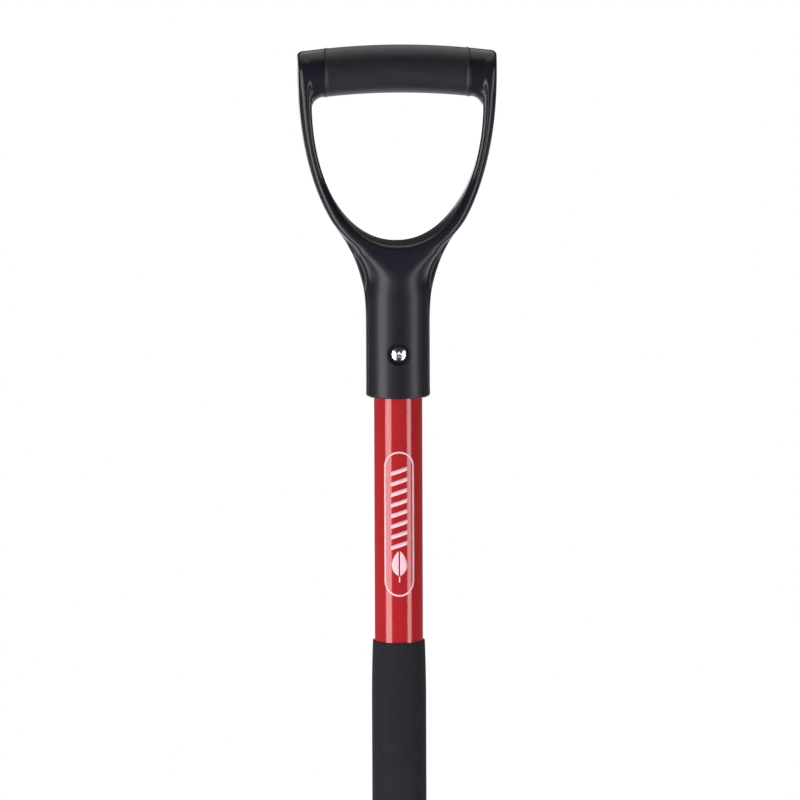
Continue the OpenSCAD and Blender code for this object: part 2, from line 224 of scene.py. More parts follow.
def map_range(tree, source, low, high, to_low, to_high, curve):
    """Maps source from low..high to to_low..to_high, held at both ends."""
    node = tree.nodes.new("ShaderNodeMapRange")
    node.interpolation_type = curve
    limits = {"From Min": low, "From Max": high, "To Min": to_low, "To Max": to_high}
    for key, value in limits.items():
        node.inputs[key].default_value = value
    tree.links.new(source, node.inputs["Value"])
    return node.outputs["Result"]


class Finish:
    """A Principled material that is built up from procedural layers."""

    def __init__(self, name, **sockets):
        self.material = bpy.data.materials.new(name)
        self.material.use_nodes = True
        self.tree = self.material.node_tree
        self.nodes = self.tree.nodes
        self.links = self.tree.links
        self.shader = self.nodes["Principled BSDF"]
        self.place = self.nodes.new("ShaderNodeTexCoord").outputs["Object"]
        for key, value in sockets.items():
            self.shader.inputs[key.replace("_", " ")].default_value = value

    def scaled(self, stretch):
        mapping = self.nodes.new("ShaderNodeMapping")
        mapping.inputs["Scale"].default_value = stretch
        self.links.new(self.place, mapping.inputs["Vector"])
        return mapping.outputs["Vector"]

    def noise(self, size, detail=3.0, roughness=0.55, stretch=(1, 1, 1)):
        """Noise whose grains are about size millimetres across."""
        node = self.nodes.new("ShaderNodeTexNoise")
        node.inputs["Scale"].default_value = 1 / (size * M)
        node.inputs["Detail"].default_value = detail
        node.inputs["Roughness"].default_value = roughness
        self.links.new(self.scaled(stretch), node.inputs["Vector"])
        return node.outputs["Fac"]

    def cells(self, size, stretch=(1, 1, 1)):
        """Distance to the nearest of scattered points about size millimetres apart."""
        node = self.nodes.new("ShaderNodeTexVoronoi")
        node.inputs["Scale"].default_value = 1 / (size * M)
        self.links.new(self.scaled(stretch), node.inputs["Vector"])
        return node.outputs["Distance"]

    def layer(self, name):
        """The values that a mesh keeps under this name."""
        node = self.nodes.new("ShaderNodeAttribute")
        node.attribute_name = name
        return node.outputs["Fac"]

    def spread(self, source, low=NOISE_LOW, high=NOISE_HIGH, to_low=0.0, to_high=1.0):
        """Maps source evenly from low..high to to_low..to_high."""
        return map_range(self.tree, source, low, high, to_low, to_high, "LINEAR")

    def combine(self, operation, first, second):
        return math_node(self.tree, operation, first, second)

    def blend(self, factor, first, second):
        """Mixes two colours; each is an RGB triple or a socket."""
        node = self.nodes.new("ShaderNodeMix")
        node.data_type = "RGBA"
        self.links.new(factor, node.inputs["Factor"])
        for key, value in ((6, first), (7, second)):
            if isinstance(value, tuple):
                node.inputs[key].default_value = (*value, 1)
            else:
                self.links.new(value, node.inputs[key])
        return node.outputs[2]

    def feed(self, key, source):
        self.links.new(source, self.shader.inputs[key])

    def tones(self, pattern, first, second):
        """Base colour between two tones, where pattern is a noise."""
        self.feed("Base Color", self.blend(self.spread(pattern), first, second))

    def roughen(self, pattern, least, most):
        """Roughness between least and most, where pattern is a noise."""
        self.feed("Roughness", self.spread(pattern, to_low=least, to_high=most))

    def bump(self, *layers):
        """Stacks bump layers, each (height, depth in millimetres)."""
        normal = None
        for height, depth in layers:
            node = self.nodes.new("ShaderNodeBump")
            node.inputs["Strength"].default_value = 1
            node.inputs["Distance"].default_value = depth * M
            self.links.new(height, node.inputs["Height"])
            if normal:
                self.links.new(normal, node.inputs["Normal"])
            normal = node.outputs["Normal"]
        self.links.new(normal, self.shader.inputs["Normal"])


WALL_POLISH = 0.6                 # roughness of the drawn faces, against the rest of the moulding
DULL_FULL_Z = -125                # below this height the moulding is dullest, as on the barrel
DULL_START_Z = -85


def grip_plastic():
    """Satin black polypropylene with a fine spark-eroded grain."""
    f = Finish("grip_plastic", IOR=1.47, Specular_IOR_Level=0.27, Coat_Weight=0.1, Coat_Roughness=0.18)
    grain = f.noise(0.5, 2)
    f.tones(f.noise(14, 3), (0.0090, 0.0078, 0.0135), (0.0114, 0.0100, 0.0165))
    height = f.nodes.new("ShaderNodeSeparateXYZ")
    f.links.new(f.place, height.inputs[0])
    satin = f.spread(height.outputs["Z"], DULL_FULL_Z * M, DULL_START_Z * M, 0.12, 0)
    satin = f.combine("ADD", satin, f.spread(f.noise(6, 4), to_low=0.28, to_high=0.34))
    polish = f.spread(f.layer("wall"), 0, 1, 1, WALL_POLISH)
    f.feed("Roughness", f.combine("MULTIPLY", satin, polish))
    f.bump((grain, 0.0015), (f.noise(3.5, 2), 0.002))
    return f.material


def soft_cover():
    """Matt soft-touch elastomer, a little chalky, with rubbed patches."""
    f = Finish("soft_cover", IOR=1.48, Specular_IOR_Level=0.4, Sheen_Weight=0.03, Sheen_Roughness=0.5)
    dust = f.spread(f.noise(9, 5, 0.65, (1, 2.2, 2.2)), 0.35, 0.75)
    f.feed("Base Color", f.blend(dust, (0.0104, 0.0092, 0.0138), (0.0140, 0.0126, 0.0178)))
    f.roughen(f.noise(5, 4), 0.42, 0.50)
    f.bump((f.noise(0.35, 2), 0.02), (f.noise(2.5, 3), 0.012))
    return f.material


def red_coat():
    """Glossy red powder coat: a clear, slightly wavy skin over a deep red."""
    f = Finish("red_coat", IOR=1.5, Specular_IOR_Level=0.68, Specular_Tint=(1, 0.72, 0.72, 1))
    f.tones(f.noise(30, 3), (0.365, 0.0158, 0.0205), (0.392, 0.0176, 0.0226))
    f.feed("Roughness", f.spread(f.noise(2.5, 4), 0.3, 0.75, 0.10, 0.16))
    f.bump((f.noise(1.6, 2), 0.0035))
    return f.material


def pale_ink():
    """Screen-printed ink, with pinholes and slightly uneven cover."""
    f = Finish("pale_ink", IOR=1.5)
    holes = f.spread(f.cells(0.9), 0.02, 0.10)
    cover = f.combine("MULTIPLY", f.spread(f.noise(2.2, 4), 0.25, 0.6, 0.72, 1), holes)
    f.feed("Base Color", f.blend(cover, (0.60, 0.18, 0.22), (0.80, 0.545, 0.615)))
    f.roughen(f.noise(0.8, 3), 0.32, 0.42)
    f.bump((f.noise(0.4, 2), 0.008))
    return f.material


def sleeve_rubber():
    """Matt black foam-rubber sleeve with a very fine ground surface."""
    f = Finish("sleeve_rubber", IOR=1.45, Specular_IOR_Level=0.18,
               Sheen_Weight=0.025, Sheen_Roughness=0.6)
    f.tones(f.noise(7, 5, 0.6, (1, 1, 0.5)), (0.0108, 0.0098, 0.0146), (0.0144, 0.0132, 0.0186))
    f.roughen(f.noise(3, 4), 0.72, 0.85)
    f.bump((f.noise(0.3, 3), 0.03), (f.noise(1.4, 3, 0.5, (1, 1, 0.35)), 0.02))
    return f.material


def bright_zinc():
    """Bright zinc-plated steel, slightly uneven."""
    f = Finish("bright_zinc", Metallic=1.0)
    f.tones(f.noise(1.5, 4), (0.53, 0.53, 0.55), (0.65, 0.65, 0.67))
    f.roughen(f.noise(0.5, 4), 0.16, 0.30)
    f.bump((f.noise(0.25, 3), 0.006))
    return f.material


def head_coat():
    """Black baked coat on steel, bare along the very edge where the blade is sheared."""
    f = Finish("head_coat", IOR=1.5)
    ragged = f.combine("ADD", f.layer("edge"), f.spread(f.noise(6, 5, 0.6), 0.25, 0.75, -0.7, 0.7))
    worn = f.spread(ragged, 0.8, 1.7, 1, 0)
    coat = f.blend(f.spread(f.noise(18, 4)), (0.0150, 0.0150, 0.0165), (0.0215, 0.0215, 0.0235))
    steel = f.blend(f.noise(2, 4), (0.30, 0.30, 0.31), (0.46, 0.46, 0.47))
    f.feed("Base Color", f.blend(worn, coat, steel))
    f.feed("Metallic", worn)
    satin = f.spread(f.noise(4, 4), to_low=0.36, to_high=0.48)
    f.feed("Roughness", f.combine("ADD", satin, f.combine("MULTIPLY", worn, -0.06)))
    f.bump((f.noise(1.1, 2), 0.02), (worn, -0.03))
    return f.material


def weld_metal():
    """Weld beads under the same baked coat, a little rougher."""
    f = Finish("weld_metal", IOR=1.5)
    f.feed("Base Color", f.blend(f.noise(3, 4), (0.014, 0.014, 0.015), (0.026, 0.025, 0.026)))
    f.roughen(f.noise(1.5, 4), 0.38, 0.55)
    f.bump((f.noise(0.9, 3), 0.05))
    return f.material


def rivet_steel():
    """Plain steel rivets, forged and slightly dulled."""
    f = Finish("rivet_steel", Metallic=1.0)
    f.tones(f.noise(2, 5), (0.40, 0.40, 0.41), (0.56, 0.56, 0.57))
    f.roughen(f.noise(1, 4), 0.28, 0.45)
    f.bump((f.noise(0.7, 3), 0.02))
    return f.material


def plug_wood():
    """Bare hardwood with its grain along the shaft."""
    f = Finish("plug_wood", IOR=1.5)
    rings = f.noise(3.2, 4, 0.6, (1, 1, 0.05))
    f.tones(rings, (0.36, 0.20, 0.09), (0.60, 0.40, 0.21))
    f.roughen(rings, 0.55, 0.75)
    f.bump((rings, 0.05))
    return f.material


# ---------- the moulded grip, as the zero surface of a field ----------

GRIP_STEP = 0.65                  # spacing of the grip's mesh
BAR_Z = BAR_R                     # height of the bar's axis at its middle
ARCH_Z = BAR_Z - ARCH_R
CORE_R = BAR_R - COVER_T - 0.1    # the core inside the soft cover
BOSS_X = 30                       # the bar's full ends begin here, inside the cover

HOLE_R = 55.6                     # the hand hole: a superellipse below HOLE_Z, straight above it
HOLE_Z = -4
HOLE_B = 94.4
HOLE_POWER = 2.12

ARM_OUT_Z = 16                    # the arms' outer edge: a quarter of a superellipse
ARM_OUT_B = 128.5
ARM_POWER = 2.13
ARM_HALF_T = 14                   # half their depth, and how much it swells under the bar
ARM_SWELL = 2.2
ARM_ROUND = 4.9                   # radius of their outer edges, and how much it shrinks beside the bar
ARM_ROUND_SLIM = 1.3
SIDE_DRAFT = 0.035                # slope of the outer sides, and how much more it is on the neck
NECK_DRAFT = 0.125
RIDGE_BACK = 2.1                  # how far the ridge stands back from the hand hole
RIDGE_DRAFT = 0.03
RIDGE_TOP_Z = 22
LIP_DROP = 4.2                    # how far the lip lies below the ridge
LIP_DRAFT = 0.02
LIP_TOP_Z = 18

ARM_JOIN_Z = -100.6               # where the ridge leaves the arm for the neck's fillet
NECK_Z = -126.6                   # where that fillet ends on the barrel
NECK_FILLET = 34
NECK_TUCK = 0.3                   # how far the neck's sides stay inside the barrel's
NECK_ROUND = BARREL_R - 5.05      # how much rounder the barrel is than the arms

WEB_END_Z = -152                  # the side webs, from the barrel up to the arms
WEB_TOP_Z = -90
WEB_H = 54
WEB_REACH = 12.9
WEB_POWER = 2.15
WEB_HALF_T = 5
WEB_FILLET = 2.4
WEB_HOLE_GAP = 5                  # how far the webs stay away from the hand hole's wall

SCREW_RECESS_Y = 17.8
SCREW_RECESS_R = 7.2
SCREW_HOLE_R = 2.7
BORE_TOP = TUBE_TOP + 0.5


def rounded_max(a, b, r):
    """Where both a and b are negative, with the edge between them rounded to radius r."""
    return np.minimum(np.maximum(a, b), -r) + np.hypot(np.maximum(a + r, 0), np.maximum(b + r, 0))


def rounded_min(a, b, r):
    """Where a or b is negative, with a fillet of radius r between them."""
    return np.maximum(np.minimum(a, b), r) - np.hypot(np.maximum(r - a, 0), np.maximum(r - b, 0))


def beside(x, edge, slope):
    """Distance from the curve x = edge(z), to first order; negative inside it."""
    return (x - edge) / np.sqrt(1 + slope * slope)


def ridge_outline(x, z):
    """Outer edge of the arms, running smoothly into the neck's fillet and the barrel's side."""
    t = np.clip((ARM_OUT_Z - z) / ARM_OUT_B, 1e-6, 0.97)
    root = (1 - t ** ARM_POWER) ** (1 / ARM_POWER)
    arm, arm_slope = GRIP_R * root, GRIP_R / ARM_OUT_B * (t / root) ** (ARM_POWER - 1)
    drop = np.clip(z - NECK_Z, 0, NECK_FILLET * 0.97)
    side = np.sqrt(NECK_FILLET ** 2 - drop ** 2)
    flare = NECK_TUCK * fade(z, BARREL_END + 9, -9)
    neck, neck_slope = BARREL_R - NECK_TUCK + flare + NECK_FILLET - side, drop / side
    part = fade(z, ARM_JOIN_Z - 4, 8)
    return beside(x, neck + (arm - neck) * part, neck_slope + (arm_slope - neck_slope) * part)


def hole_side(x, z):
    """The hand hole's superellipse, running straight up above it; negative inside it."""
    u, v = x / HOLE_R, np.maximum(HOLE_Z - z, 0) / HOLE_B
    reach = np.maximum(u ** HOLE_POWER + v ** HOLE_POWER, 1e-9) ** (1 / HOLE_POWER)
    steep = np.hypot((u / reach) ** (HOLE_POWER - 1) / HOLE_R, (v / reach) ** (HOLE_POWER - 1) / HOLE_B)
    return (reach - 1) / np.maximum(steep, 0.3 / HOLE_B)


def web_outline(x, z):
    """Outer edge of the fin in the middle plane, from the arm down into the barrel."""
    t = np.clip((z - WEB_END_Z) / WEB_H, 0, 1.3)
    edge = BARREL_R - NECK_TUCK - 0.05 + WEB_REACH * t ** WEB_POWER
    slope = WEB_REACH * WEB_POWER * t ** (WEB_POWER - 1) / WEB_H
    return np.maximum(beside(x, edge, slope), z - WEB_TOP_Z)


def half_depth(z):
    """Half the front-to-back depth of the arms and the neck."""
    swell = ARM_SWELL * (fade(z, -50, 45) - fade(z, 4, 12))
    return ARM_HALF_T + swell + (BARREL_R - ARM_HALF_T) * fade(z, -52, -34)


def grip_field(x, y, z):
    """Negative inside the moulded grip. It is the same on both sides and front and back."""
    x, y = np.abs(x), np.abs(y)
    on_neck = fade(z, -80, -24) * fade(z, -134, 16)
    outer = ridge_outline(x, z) + (SIDE_DRAFT + NECK_DRAFT * on_neck) * y
    hole = hole_side(x, z)
    half = half_depth(z)
    bar = np.hypot(np.hypot(x, z - ARCH_Z) - ARCH_R, y)
    # The ridge in front and the lip behind it, which rises to the neck's face below the hole
    low = fade(z, -66, -28)
    ridge = rounded_max(y - half, RIDGE_BACK - hole + RIDGE_DRAFT * y, 0.9)
    ridge = rounded_max(ridge, z - RIDGE_TOP_Z, 6)
    lip = rounded_max(y - half + LIP_DROP * (1 - low), LIP_DRAFT * y - hole, 2 + low)
    lip = rounded_max(lip, z - LIP_TOP_Z, 5)
    body = rounded_min(ridge, lip, 0.75 - 0.7 * low)
    # The ends of the bar, filleted into the arms
    boss = np.maximum(bar - BAR_R, BOSS_X - x)
    body = rounded_min(body, boss, 3 + 4 * fade(y, 13, -7))
    # The outside: fully rounded on the arms, spreading into the round of the barrel
    to_barrel = smooth(np.clip((-96 - z) / 29, 0, 1) ** 1.2)
    round_out = ARM_ROUND - ARM_ROUND_SLIM * fade(z, 8, 8) + NECK_ROUND * to_barrel
    body = rounded_max(body, outer, round_out)
    # The webs beside the neck
    web = rounded_max(y - WEB_HALF_T, web_outline(x, z), 1.2)
    body = rounded_min(body, np.maximum(web, WEB_HOLE_GAP - hole), WEB_FILLET)
    # Room for the soft cover, and the core inside it
    body = rounded_max(body, np.minimum(COVER_L / 2 - x, z + 20), 0.2)
    body = np.minimum(body, np.maximum(bar - CORE_R, x - COVER_L / 2 - 1))
    # The barrel's end, its bore, the screw's counterbores and its hole
    body = rounded_max(body, BARREL_END - z, 1.7)
    bore = np.maximum(np.hypot(x, y) - TUBE_R - BORE_GAP, z - BORE_TOP)
    body = rounded_max(body, -bore, 0.7)
    from_screw = np.hypot(x, z - SCREW_Z)
    body = rounded_max(body, -np.maximum(from_screw - SCREW_RECESS_R, SCREW_RECESS_Y - y), 0.6)
    return np.maximum(body, SCREW_HOLE_R - from_screw)


def surface_net(field, low, high, step):
    """Quads round field = 0, one point in each grid cell that the surface crosses.

    The field is the same at -x and x, and at -y and y, so only a quarter of it is worked out
    and then mirrored.
    """
    quarter = [np.arange(0, high[0] + step, step), np.arange(0, high[1] + step, step),
               np.arange(low[2], high[2] + step, step)]
    value = field(*np.meshgrid(*quarter, indexing="ij"))
    value = np.concatenate([value[:0:-1], value], 0)
    value = np.concatenate([value[:, :0:-1], value], 1)
    corner = np.array([-quarter[0][-1], -quarter[1][-1], low[2]])
    counts = value.shape
    cells = [n - 1 for n in counts]

    def shifted(offset):
        return value[tuple(slice(offset[i], offset[i] + cells[i]) for i in range(3))]

    total, hits = np.zeros((*cells, 3)), np.zeros(cells)
    for axis in range(3):
        for u in (0, 1):
            for v in (0, 1):
                start = [0, 0, 0]
                start[(axis + 1) % 3], start[(axis + 2) % 3] = u, v
                end = list(start)
                end[axis] = 1
                a, b = shifted(start), shifted(end)
                cross = (a < 0) != (b < 0)
                part = np.where(cross, a / np.where(cross, a - b, 1), 0)
                for i in range(3):
                    total[..., i] += cross * start[i] + (part if i == axis else 0)
                hits += cross
    used = hits > 0
    number = np.full(cells, -1)
    number[used] = np.arange(used.sum())
    points = (np.argwhere(used) + total[used] / hits[used][:, None]) * step + corner

    faces = []
    for axis in range(3):
        j, k = (axis + 1) % 3, (axis + 2) % 3
        first = [slice(None)] * 3
        first[axis], first[j], first[k] = slice(0, -1), slice(1, -1), slice(1, -1)
        second = list(first)
        second[axis] = slice(1, None)
        a, b = value[tuple(first)] < 0, value[tuple(second)] < 0
        at = np.argwhere(a != b)
        outward = a[a != b]
        at[:, j] += 1
        at[:, k] += 1
        ring = []
        for dj, dk in ((-1, -1), (0, -1), (0, 0), (-1, 0)):
            cell = at.copy()
            cell[:, j] += dj
            cell[:, k] += dk
            ring.append(number[cell[:, 0], cell[:, 1], cell[:, 2]])
        quads = np.stack(ring, 1)
        faces.append(quads[outward])
        faces.append(quads[~outward][:, ::-1])
    return points, np.concatenate(faces)


def field_slope(points, field, reach):
    """The field's slope at each point, from samples reach to either side."""
    slope = [field(*(points + e).T) - field(*(points - e).T) for e in np.eye(3) * reach]
    return np.stack(slope, 1) / (2 * reach)


def settle(points, field, rounds=3, reach=0.02, limit=0.5):
    """Moves points onto field = 0 along its slope."""
    for _ in range(rounds):
        slope = field_slope(points, field, reach)
        move = slope * (field(*points.T) / np.maximum((slope ** 2).sum(1), 0.2))[:, None]
        size = np.linalg.norm(move, axis=1)[:, None]
        points = points - move * np.minimum(1, limit / np.maximum(size, 1e-9))
    return points


def drawn_faces(x, y, z):
    """1 on the faces that slide along the mould: the hand hole's wall and the neck's sides."""
    soft = 0.6                    # it fades over this much, and is gone 1 mm away from such a face
    away = fade(y, half_depth(z) - 3.5, -3)
    wall = smooth((1 - np.abs(hole_side(x, z))) / soft)
    side = smooth((1 - np.abs(ridge_outline(x, z) + (SIDE_DRAFT + NECK_DRAFT) * y)) / soft)
    return away * np.maximum(wall, side * fade(z, -78, -10) * fade(z, -136, 10))


def make_grip_frame(finish):
    """The moulding, shaded by the field's own slope so that the mesh does not show."""
    margin = 1.5 * GRIP_STEP
    low = np.array([-GRIP_R, -BARREL_R, BARREL_END]) - margin
    high = np.array([GRIP_R, BARREL_R, 2 * BAR_R]) + margin
    points, faces = surface_net(grip_field, low, high, GRIP_STEP)
    points = settle(points, grip_field)
    moulding = add_piece("grip_moulding", points, faces, finish, ["grip_frame"])
    corners = np.array([v.co for v in moulding.data.vertices]) / M
    normals = field_slope(corners, grip_field, 0.3)
    normals /= np.maximum(np.linalg.norm(normals, axis=1), 1e-6)[:, None]
    moulding.data.normals_split_custom_set_from_vertices(normals.tolist())
    layer = moulding.data.attributes.new("wall", "FLOAT", "POINT")
    polish = drawn_faces(np.abs(corners[:, 0]), np.abs(corners[:, 1]), corners[:, 2])
    layer.data.foreach_set("value", polish.tolist())
    return moulding


def make_grip_cover(finish):
    """The soft cover: a sleeve along the bar's arch, with a small bead at each end."""
    sides, stations = 96, 110
    bead_h, bead_in, bead_w = 0.42, 0.9, 0.75
    rim_l, rim_h = 0.25, 0.2
    half = COVER_L / 2 - 0.05
    u = np.linspace(-1, 1, stations)
    across = half * np.sign(u) * (1 - (1 - np.abs(u)) ** 1.5)
    bead = bead_h * np.exp(-((half - bead_in - np.abs(across)) / bead_w) ** 2)
    tuck = ((np.abs(across) - half + rim_l) / rim_l).clip(0, 1)
    radii = BAR_R + bead - rim_h * (1 - np.sqrt(1 - tuck ** 2))
    rings = list(zip(across, radii)) + [(half, BAR_R - COVER_T), (-half, BAR_R - COVER_T)]
    points = []
    for x, r in rings:
        for b in np.arange(sides) * 2 * math.pi / sides:
            reach = ARCH_R + r * math.cos(b)
            points.append([x, r * math.sin(b), ARCH_Z + math.sqrt(reach ** 2 - x ** 2)])
    faces = grid_faces(len(rings), sides, wrap_rows=True, wrap_columns=True)
    return add_piece("soft_cover", points, faces, finish, ["grip_cover"])


# ---------- screw, washer, nut ----------

HEAD_R = 5.0
HEAD_H = 2.9
SCREW_R = 2.5
WASHER_T = 1


def make_screw(finish):
    """Pan head with a rolled shoulder and a shallow cross recess, on a plain shank."""
    end = -2 * SCREW_RECESS_Y - 5.8
    outline = [(0.001, HEAD_H), (1.9, HEAD_H - 0.22), (3.5, HEAD_H - 0.8), (4.7, HEAD_H - 1.48),
               (HEAD_R, HEAD_H - 2.3), (HEAD_R - 0.05, 0), (SCREW_R, 0), (SCREW_R, end), (0.001, end)]
    profile = fillet(outline, [0, 2.5, 2.5, 0.4, 0.4, 0.25, 0.2, 0.4, 0])
    points, faces = lathe(profile, 64)
    x, y, h = points.T
    cross_w, cross_l, cross_h = 0.7, 1.9, 0.7
    beside_arm = np.minimum(np.abs(x), np.abs(y))
    along_arm = np.maximum(np.abs(x), np.abs(y))
    sunk = smooth((cross_w - beside_arm) / 0.45) * smooth((cross_l - along_arm) / 0.7)
    points[:, 2] -= cross_h * sunk * (h > HEAD_H - cross_h)
    points = turned(points, -SCREW_RECESS_Y, SCREW_Z)
    return add_piece("screw", points, faces, finish, ["grip_screw"])


def make_washer(finish):
    outline = [(2.65, 0), (6, 0), (6, WASHER_T), (2.65, WASHER_T)]
    points, faces = lathe(fillet(outline, [0.1, 0.25, 0.25, 0.1], 3), 64)
    points = turned(points, SCREW_RECESS_Y + WASHER_T, SCREW_Z)
    return add_piece("washer", points, faces, finish, ["grip_washer"])


def make_nut(finish):
    """Hexagon nut: a lathed ring pulled in to six flats, so its chamfered corners curve."""
    flats, height, steps = 4.0, 4.0, 144
    chamfer, chamfer_r, hole_r, mouth_r = 0.8, 0.62, 2.53, 2.9
    corner = flats / math.cos(math.pi / 6)
    angle = np.arange(steps) * 2 * math.pi / steps
    hexagon = flats / np.cos((angle + math.pi / 6) % (math.pi / 3) - math.pi / 6)
    rings = []
    for z in (0, 0.25, 0.5, chamfer, height / 2, height - chamfer, 3.5, 3.75, height):
        cut = max(chamfer - z, z - height + chamfer, 0) / chamfer
        rings.append((np.minimum(hexagon, corner - chamfer_r * cut ** 1.6), z))
    for radius, z in ((mouth_r, height), (hole_r, height - 0.35), (hole_r, 0.35), (mouth_r, 0)):
        rings.append((np.full(steps, radius), z))
    points = np.concatenate([
        np.stack([r * np.cos(angle), r * np.sin(angle), np.full(steps, z)], 1) for r, z in rings])
    points = turned(points, SCREW_RECESS_Y + WASHER_T + height, SCREW_Z)
    faces = grid_faces(len(rings), steps, wrap_rows=True, wrap_columns=True)
    nut = add_piece("nut", points, faces, finish, ["grip_nut"])
    crease_by_angle(nut, 35)
    return nut


def crease_by_angle(piece, degrees):
    """Sharp shading across edges steeper than this."""
    mesh = piece.data
    shape = bmesh.new()
    shape.from_mesh(mesh)
    for edge in shape.edges:
        edge.smooth = edge.calc_face_angle(0) < math.radians(degrees)
    shape.to_mesh(mesh)
    shape.free()


# ---------- shaft ----------


def make_tube(finish):
    inner = TUBE_R - TUBE_WALL
    profile = fillet([(inner, TUBE_END), (TUBE_R, TUBE_END), (TUBE_R, TUBE_TOP), (inner, TUBE_TOP)],
                     [0.3, 0.5, 0.5, 0.3], 3)
    points, faces = lathe(profile, 160)
    return add_piece("coated_tube", points, faces, finish, ["shaft_tube"])


def ruled_patch(left, right, columns):
    """A grid of points between two equally long lists of (across, up) points."""
    left, right = np.array(left, float), np.array(right, float)
    part = np.linspace(0, 1, columns)[None, :, None]
    grid = left[:, None, :] * (1 - part) + right[:, None, :] * part
    return grid.reshape(-1, 2), grid_faces(len(left), columns)


def capsule(r, straight, steps=48):
    """A closed upright outline round the origin: two half circles and their straight sides."""
    arc = np.arange(steps + 1) * math.pi / steps
    upper = [(r * math.cos(a), straight / 2 + r * math.sin(a)) for a in arc]
    lower = [(r * math.cos(a), -straight / 2 + r * math.sin(a)) for a in arc + math.pi]
    return upper + lower + upper[:1]


def divided(outline, length=6):
    """The outline with points added along its long straight sides."""
    out = []
    for a, b in zip(outline, outline[1:]):
        pieces = max(1, int(math.dist(a, b) / length))
        step = (np.array(b) - np.array(a)) / pieces
        out += [tuple(np.array(a) + step * k) for k in range(pieces)]
    return out + [outline[-1]]


def print_patches(across, height):
    """The panel laid flat: a frame, slanted bars and a leaf, each as (points, quads)."""
    line = 1.2
    straight = height - 2 * across
    rims = [[(x, z + height / 2) for x, z in divided(capsule(across - inset, straight))]
            for inset in (0, line)]
    patches = [ruled_patch(*rims, 3)]
    # Eight bars that rise to the right
    bar_x, bar_t, rise = 5.6, 2.8, 3.7
    for k in range(8):
        foot = 30.7 + 7 * k
        left = [(-bar_x, foot), (-bar_x, foot + bar_t)]
        right = [(bar_x, foot + rise), (bar_x, foot + rise + bar_t)]
        patches.append(ruled_patch(left, right, 12))
    # The leaf: two halves either side of a thin vein, on a short stalk
    vein, leaf_z, leaf_h, leaf_w = 0.45, 22, 8.2, 4.6
    for side in (-1, 1):
        rows = np.linspace(-1, 1, 25)
        width = leaf_w * (1 - rows ** 2) ** 0.8 * (1 - 0.25 * rows)
        middle = [(side * vein, leaf_z + leaf_h * t) for t in rows]
        rim = [(side * (vein + w), leaf_z + leaf_h * t) for t, w in zip(rows, width)]
        patches.append(ruled_patch(middle, rim, 5))
    patches.append(ruled_patch([(-vein, 9.5), (-vein, 13.6)], [(vein, 9.5), (vein, 13.6)], 2))
    return patches


def make_print(finish):
    """A plain panel of ink, bent round the front of the tube."""
    half = (print_high[0] - print_low[0]) / 2
    height = print_high[2] - print_low[2]
    film = TUBE_R + 0.045
    points, faces = [], []
    for flat, quads in print_patches(TUBE_R * math.asin(half / TUBE_R), height):
        faces += [[len(points) + i for i in quad] for quad in quads]
        for u, v in flat:
            a = u / TUBE_R
            points.append([film * math.sin(a), -film * math.cos(a), print_low[2] + v])
    piece = add_piece("printed_panel", points, faces, finish, ["shaft_print"])
    face_outwards(piece)
    thick = piece.modifiers.new("film", "SOLIDIFY")
    thick.thickness = 0.035 * M
    thick.offset = -1
    return piece


def face_outwards(piece):
    """Turns every face of an open skin on the shaft away from the Z axis."""
    shape = bmesh.new()
    shape.from_mesh(piece.data)
    for face in shape.faces:
        centre = face.calc_center_median()
        if face.normal.dot(Vector((centre.x, centre.y, 0))) < 0:
            face.normal_flip()
    shape.to_mesh(piece.data)
    shape.free()


def make_sleeve(finish):
    """The rubber sleeve: thin rounded rims that swell to the full diameter."""
    inner, rim, swell, steps = TUBE_R + 0.03, TUBE_R + 1.1, 40, 20
    upper = [(rim - 0.45, SLEEVE_TOP), (rim - 0.13, SLEEVE_TOP - 0.13), (rim, SLEEVE_TOP - 0.5)]
    for t in np.arange(1, steps + 1) / steps:
        upper.append((rim + (SLEEVE_R - rim) * (1 - (1 - t) ** 2), SLEEVE_TOP - swell * t))
    middle = [(SLEEVE_R, z) for z in np.linspace(SLEEVE_TOP - swell, SLEEVE_END + swell, 13)[1:-1]]
    lower = [(r, SLEEVE_TOP + SLEEVE_END - z) for r, z in reversed(upper)]
    profile = upper + middle + lower + [(inner, SLEEVE_END), (inner, SLEEVE_TOP)]
    points, faces = lathe(profile, 160)
    return add_piece("rubber_sleeve", points, faces, finish, ["mid_grip"])


def make_dowel(finish):
    radius = dowel_high[0]
    ends = (dowel_low[2], dowel_high[2])
    profile = fillet([(0.001, ends[0]), (radius, ends[0]), (radius, ends[1]), (0.001, ends[1])],
                     [0, 1.2, 1.2, 0], 3)
    points, faces = lathe(profile, 96)
    return add_piece("wooden_plug", points, faces, finish, ["shaft_dowel"])


# ---------- head ----------

SOCKET_WALL = 2.0
SOCKET_TOP_R = TUBE_R + BORE_GAP + SOCKET_WALL
SOCKET_TAPER_Z = TREAD_Z + 30     # the socket is straight below this
SCARF_BACK = 26                   # the slanted end's distance below the treads, at the back
SCARF_FRONT = 130                 # and at the front
SCARF_RUN = (SCARF_FRONT - SCARF_BACK) / (2 * SOCKET_LOW_R)
LEVEL_Z = TREAD_Z - 5             # the last level ring above the slanted end
CAP_T = 2.0
RIVET_ZS = (SOCKET_TOP - 30, SOCKET_TOP - 98)
LEAN = 0.10                       # forward lean of the blade at the treads, and how it grows
LEAN_GROWTH = 0.00042
DISH = 26                         # how far the blade's sides stand forward of its middle
FROG_R = SOCKET_LOW_R + BLADE_T / 2 + 0.3
FROG_FLANK = 0.9                  # part of FROG_R where the round turns into a straight flank
FROG_BLEND = 14
WIDEST = 70                       # distance of the widest place below the treads
SHOULDER_DROP = 6
TONGUE_H = 34
TONGUE_W = 25                     # half the tongue's width at its foot
TREAD_IN = 31
TREAD_OUT = 99
TREAD_BEND = 5                    # radius of the treads' bend
TREAD_DEPTH = 11                  # and the flat part beyond it
